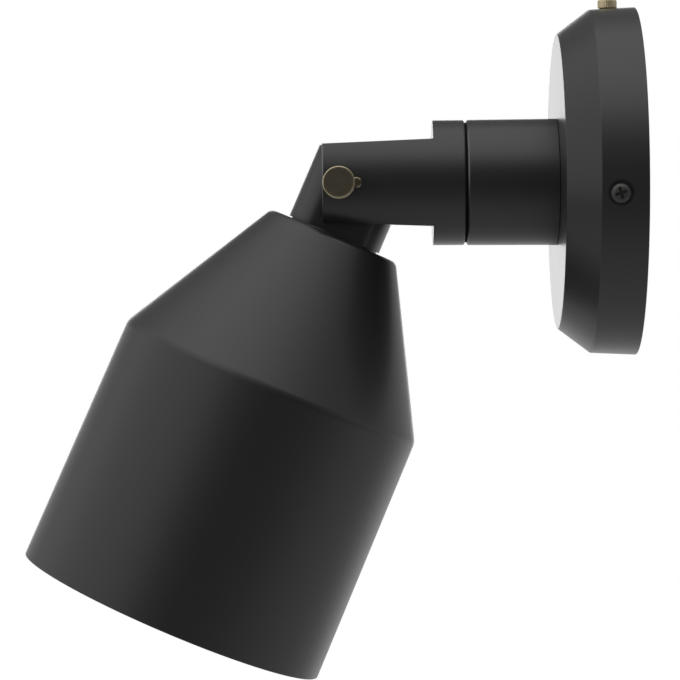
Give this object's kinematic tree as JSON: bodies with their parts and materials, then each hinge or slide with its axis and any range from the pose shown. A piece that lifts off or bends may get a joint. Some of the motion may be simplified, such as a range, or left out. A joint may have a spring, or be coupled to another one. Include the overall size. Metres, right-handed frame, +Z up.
{
  "type": "pivoting spotlight wall light",
  "caption": "Wall spotlight with a round canopy, short swivelling arm, tilting yoke with a locking thumbscrew and a deep tapered metal shade over a reflector bulb.",
  "frame": {"origin": "centre of the canopy's back rim, on the wall plane", "axes": "+Y into the wall, -Y out into the room along the arm, +Z up, +X to the side that carries the locking thumbscrew"},
  "size_m": [0.1278, 0.2242, 0.2473],
  "materials": {
    "satin_black": "satin black powder coat",
    "black_screw": "blackened steel",
    "aged_brass": "antique brass with bright worn edges",
    "zinc": "zinc plated",
    "steel": "plain",
    "nickel": "nickel plated",
    "porcelain": "glazed porcelain",
    "nylon": "natural nylon",
    "green_paint": "green",
    "green_lead": "insulation",
    "black_lead": "insulation",
    "white_lead": "insulation",
    "insulator": "black glass insulator and solder tip",
    "bulb_glass": "frosted lens, silvered sides"
  },
  "bodies": {
    "wall_mount": {"canopy": "satin_black", "mounting_bracket": "zinc", "side_screws": "black_screw", "ground_screw": "green_paint", "terminal_block": "nylon", "terminal_screws": "steel", "ground_lug": "zinc", "ground_lead": "green_lead", "live_lead_wall": "black_lead", "neutral_lead_wall": "white_lead", "arm_tube": "satin_black", "arm_screws": "zinc", "swivel_bushing": "nylon", "swivel_washer": "zinc"},
    "canopy_thumbscrew": {"canopy_thumbscrew": "aged_brass"},
    "yoke": {"yoke": "satin_black", "swivel_stem": "zinc", "swivel_spring": "steel", "swivel_nut": "zinc", "stop_pin": "steel", "pivot_pins": "aged_brass", "pivot_washers": "steel", "lead_sleeve": "black_lead"},
    "tilt_thumbscrew": {"tilt_thumbscrew": "aged_brass"},
    "head": {"neck": "satin_black", "neck_nipple": "zinc", "neck_washer": "satin_black", "shade": "satin_black", "shade_lock_washer": "steel", "shade_nut": "zinc", "holder_strap": "zinc", "holder_screws": "zinc", "holder_body": "porcelain", "holder_terminals": "aged_brass", "holder_shell": "nickel", "holder_contact": "aged_brass", "live_lead_head": "black_lead", "neutral_lead_head": "white_lead"},
    "bulb": {"bulb_cap": "nickel", "bulb_contact": "insulator", "bulb_glass": "bulb_glass"}
  },
  "joints": [
    {"name": "swivel", "type": "hinge", "parent": "wall_mount", "child": "yoke", "pos_m": [0, -0.062, 0], "axis": [0, -1, 0], "range_deg": [-168, 168]},
    {"name": "tilt", "type": "hinge", "parent": "yoke", "child": "head", "pos_m": [0, -0.1019, 0], "axis": [-1, 0, 0], "range_deg": [-23.6, 66.4], "deforming": ["lead_sleeve"]},
    {"name": "tilt_lock_turn", "type": "hinge", "parent": "yoke", "child": "tilt_thumbscrew", "pos_m": [0.025, -0.1083, 0], "axis": [1, 0, 0], "range_deg": [0, 360]},
    {"name": "canopy_thumbscrew_turn", "type": "hinge", "parent": "wall_mount", "child": "canopy_thumbscrew", "pos_m": [0, -0.0096, 0.063], "axis": [0, 0, 1], "range_deg": [0, 720]},
    {"name": "bulb_turn", "type": "hinge", "parent": "head", "child": "bulb", "pos_m": [0, -0.12592, -0.05498], "axis": [0, -0.4003, -0.9164], "continuous": true}
  ]
}
